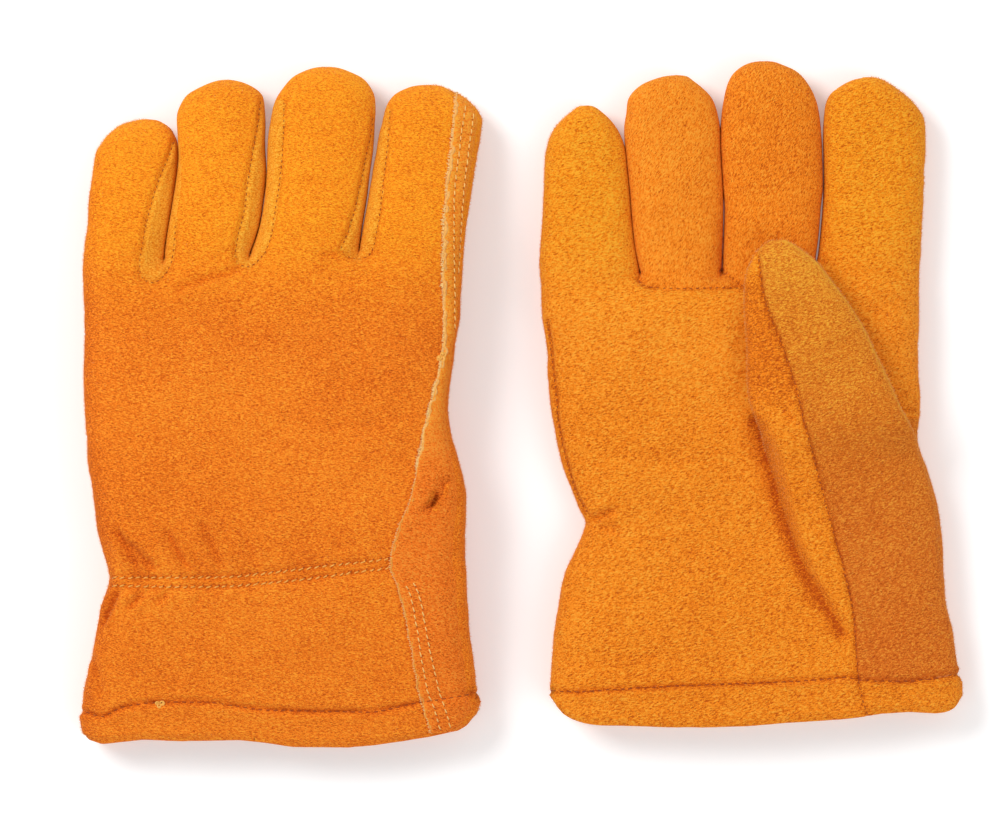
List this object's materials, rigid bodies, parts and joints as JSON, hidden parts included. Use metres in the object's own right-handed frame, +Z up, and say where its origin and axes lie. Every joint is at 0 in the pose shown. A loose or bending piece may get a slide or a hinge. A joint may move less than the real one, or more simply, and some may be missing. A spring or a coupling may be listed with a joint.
{
  "type": "work gloves",
  "caption": "Pair of heavy split-leather work gloves with bendable digits, elastic wrist and hemmed cuffs, laid flat with one palm down and one palm up.",
  "frame": {"origin": "bottom centre of the pair as it lies on a table", "axes": "+X across the pair from the palm-down glove to the palm-up glove, +Y from the cuffs to the fingertips, +Z up"},
  "size_m": [0.3332, 0.2628, 0.0377],
  "materials": {
    "suede_back": "short-napped split suede",
    "suede_palm": "coarse shaggy split suede",
    "suede_cuff": "short-napped split suede",
    "suede_forks": "lighter split suede strip",
    "fleece_lining": "brushed cotton fleece",
    "elastic": "woven elastic",
    "thread": "twisted sewing thread"
  },
  "bodies": {
    "left_hand": {"left_back_panel": "suede_back", "left_palm_panel": "suede_palm", "left_thumb_wing": "suede_palm", "left_hand_lining": "fleece_lining", "left_wrist_elastic": "elastic", "left_finger_forks": "suede_forks", "left_seam_threads": "thread"},
    "left_cuff": {"left_cuff_sleeve": "suede_cuff", "left_cuff_hem": "suede_cuff", "left_hem_thread": "thread"},
    "left_index_base": {"left_index_base_back": "suede_back", "left_index_base_front": "suede_palm"},
    "left_index_tip": {"left_index_tip_back": "suede_back", "left_index_tip_front": "suede_palm"},
    "left_middle_base": {"left_middle_base_back": "suede_back", "left_middle_base_front": "suede_palm"},
    "left_middle_tip": {"left_middle_tip_back": "suede_back", "left_middle_tip_front": "suede_palm"},
    "left_ring_base": {"left_ring_base_back": "suede_back", "left_ring_base_front": "suede_palm"},
    "left_ring_tip": {"left_ring_tip_back": "suede_back", "left_ring_tip_front": "suede_palm"},
    "left_little_base": {"left_little_base_back": "suede_back", "left_little_base_front": "suede_palm"},
    "left_little_tip": {"left_little_tip_back": "suede_back", "left_little_tip_front": "suede_palm"},
    "left_thumb_base": {"left_thumb_base_outer": "suede_palm", "left_thumb_base_inner": "suede_palm"},
    "left_thumb_tip": {"left_thumb_tip_outer": "suede_palm", "left_thumb_tip_inner": "suede_palm"},
    "right_hand": {"right_back_panel": "suede_back", "right_palm_panel": "suede_palm", "right_thumb_wing": "suede_palm", "right_hand_lining": "fleece_lining", "right_wrist_elastic": "elastic", "right_finger_forks": "suede_forks", "right_seam_threads": "thread"},
    "right_cuff": {"right_cuff_sleeve": "suede_cuff", "right_cuff_hem": "suede_cuff", "right_hem_thread": "thread"},
    "right_index_base": {"right_index_base_back": "suede_back", "right_index_base_front": "suede_palm"},
    "right_index_tip": {"right_index_tip_back": "suede_back", "right_index_tip_front": "suede_palm"},
    "right_middle_base": {"right_middle_base_back": "suede_back", "right_middle_base_front": "suede_palm"},
    "right_middle_tip": {"right_middle_tip_back": "suede_back", "right_middle_tip_front": "suede_palm"},
    "right_ring_base": {"right_ring_base_back": "suede_back", "right_ring_base_front": "suede_palm"},
    "right_ring_tip": {"right_ring_tip_back": "suede_back", "right_ring_tip_front": "suede_palm"},
    "right_little_base": {"right_little_base_back": "suede_back", "right_little_base_front": "suede_palm"},
    "right_little_tip": {"right_little_tip_back": "suede_back", "right_little_tip_front": "suede_palm"},
    "right_thumb_base": {"right_thumb_base_outer": "suede_palm", "right_thumb_base_inner": "suede_palm"},
    "right_thumb_tip": {"right_thumb_tip_outer": "suede_palm", "right_thumb_tip_inner": "suede_palm"}
  },
  "joints": [
    {"name": "right_glove_apart", "type": "slide", "parent": "left_hand", "child": "right_hand", "axis": [1, 0, 0], "range_m": [0, 0.25]},
    {"name": "left_index_base_bend", "type": "hinge", "parent": "left_hand", "child": "left_index_base", "pos_m": [-0.04047, 0.06859, 0.0205], "axis": [-0.9914, 0.1312, 0], "range_deg": [-25, 52]},
    {"name": "left_index_tip_bend", "type": "hinge", "parent": "left_index_base", "child": "left_index_tip", "pos_m": [-0.03732, 0.09237, 0.01296], "axis": [-0.9914, 0.1312, 0], "range_deg": [0, 80]},
    {"name": "left_middle_base_bend", "type": "hinge", "parent": "left_hand", "child": "left_middle_base", "pos_m": [-0.08037, 0.06935, 0.0205], "axis": [-0.9931, 0.1175, 0], "range_deg": [-25, 52]},
    {"name": "left_middle_tip_bend", "type": "hinge", "parent": "left_middle_base", "child": "left_middle_tip", "pos_m": [-0.07723, 0.09592, 0.01298], "axis": [-0.9931, 0.1175, 0], "range_deg": [0, 80]},
    {"name": "left_ring_base_bend", "type": "hinge", "parent": "left_hand", "child": "left_ring_base", "pos_m": [-0.11723, 0.06707, 0.0205], "axis": [-0.9966, 0.0819, 0], "range_deg": [-25, 52]},
    {"name": "left_ring_tip_bend", "type": "hinge", "parent": "left_ring_base", "child": "left_ring_tip", "pos_m": [-0.11513, 0.09259, 0.01297], "axis": [-0.9966, 0.0819, 0], "range_deg": [0, 80]},
    {"name": "left_little_base_bend", "type": "hinge", "parent": "left_hand", "child": "left_little_base", "pos_m": [-0.15029, 0.06555, 0.0205], "axis": [-0.9908, 0.1352, 0], "range_deg": [-25, 52]},
    {"name": "left_little_tip_bend", "type": "hinge", "parent": "left_little_base", "child": "left_little_tip", "pos_m": [-0.14767, 0.08478, 0.01292], "axis": [-0.9908, 0.1352, 0], "range_deg": [0, 80]},
    {"name": "left_thumb_base_bend", "type": "hinge", "parent": "left_hand", "child": "left_thumb_base", "pos_m": [-0.05567, -0.00399, 0.0139], "axis": [-0.9542, -0.2992, 0], "range_deg": [0, 90]},
    {"name": "left_thumb_tip_bend", "type": "hinge", "parent": "left_thumb_base", "child": "left_thumb_tip", "pos_m": [-0.06574, 0.02812, 0.0029], "axis": [-0.9542, -0.2992, 0], "range_deg": [0, 50]},
    {"name": "left_wrist_bend", "type": "hinge", "parent": "left_hand", "child": "left_cuff", "pos_m": [-0.08911, -0.06517, 0.026], "axis": [1, 0, 0], "range_deg": [-40, 15]},
    {"name": "right_index_base_bend", "type": "hinge", "parent": "right_hand", "child": "right_index_base", "pos_m": [0.13243, 0.06327, 0.015], "axis": [1, -0.0065, 0], "range_deg": [-10, 75]},
    {"name": "right_index_tip_bend", "type": "hinge", "parent": "right_index_base", "child": "right_index_tip", "pos_m": [0.13261, 0.09054, 0.015], "axis": [1, -0.0065, 0], "range_deg": [0, 80]},
    {"name": "right_middle_base_bend", "type": "hinge", "parent": "right_hand", "child": "right_middle_base", "pos_m": [0.09481, 0.06707, 0.015], "axis": [0.9999, 0.012, 0], "range_deg": [-10, 75]},
    {"name": "right_middle_tip_bend", "type": "hinge", "parent": "right_middle_base", "child": "right_middle_tip", "pos_m": [0.09446, 0.09591, 0.015], "axis": [0.9999, 0.012, 0], "range_deg": [0, 80]},
    {"name": "right_ring_base_bend", "type": "hinge", "parent": "right_hand", "child": "right_ring_base", "pos_m": [0.05928, 0.06023, 0.015], "axis": [0.9996, 0.0267, 0], "range_deg": [-10, 75]},
    {"name": "right_ring_tip_bend", "type": "hinge", "parent": "right_ring_base", "child": "right_ring_tip", "pos_m": [0.0585, 0.0896, 0.015], "axis": [0.9996, 0.0267, 0], "range_deg": [0, 80]},
    {"name": "right_little_base_bend", "type": "hinge", "parent": "right_hand", "child": "right_little_base", "pos_m": [0.02489, 0.06023, 0.015], "axis": [0.9999, 0.0145, 0], "range_deg": [-10, 75]},
    {"name": "right_little_tip_bend", "type": "hinge", "parent": "right_little_base", "child": "right_little_tip", "pos_m": [0.02454, 0.08435, 0.015], "axis": [0.9999, 0.0145, 0], "range_deg": [0, 80]},
    {"name": "right_thumb_base_bend", "type": "hinge", "parent": "right_hand", "child": "right_thumb_base", "pos_m": [0.11761, -0.00779, 0.0236], "axis": [0.9581, 0.2864, 0], "range_deg": [0, 90]},
    {"name": "right_thumb_tip_bend", "type": "hinge", "parent": "right_thumb_base", "child": "right_thumb_tip", "pos_m": [0.10716, 0.02717, 0.0346], "axis": [0.9581, 0.2864, 0], "range_deg": [0, 50]},
    {"name": "right_wrist_bend", "type": "hinge", "parent": "right_hand", "child": "right_cuff", "pos_m": [0.09177, -0.04693, 0.0115], "axis": [1, 0, 0], "range_deg": [-30, 30]}
  ]
}
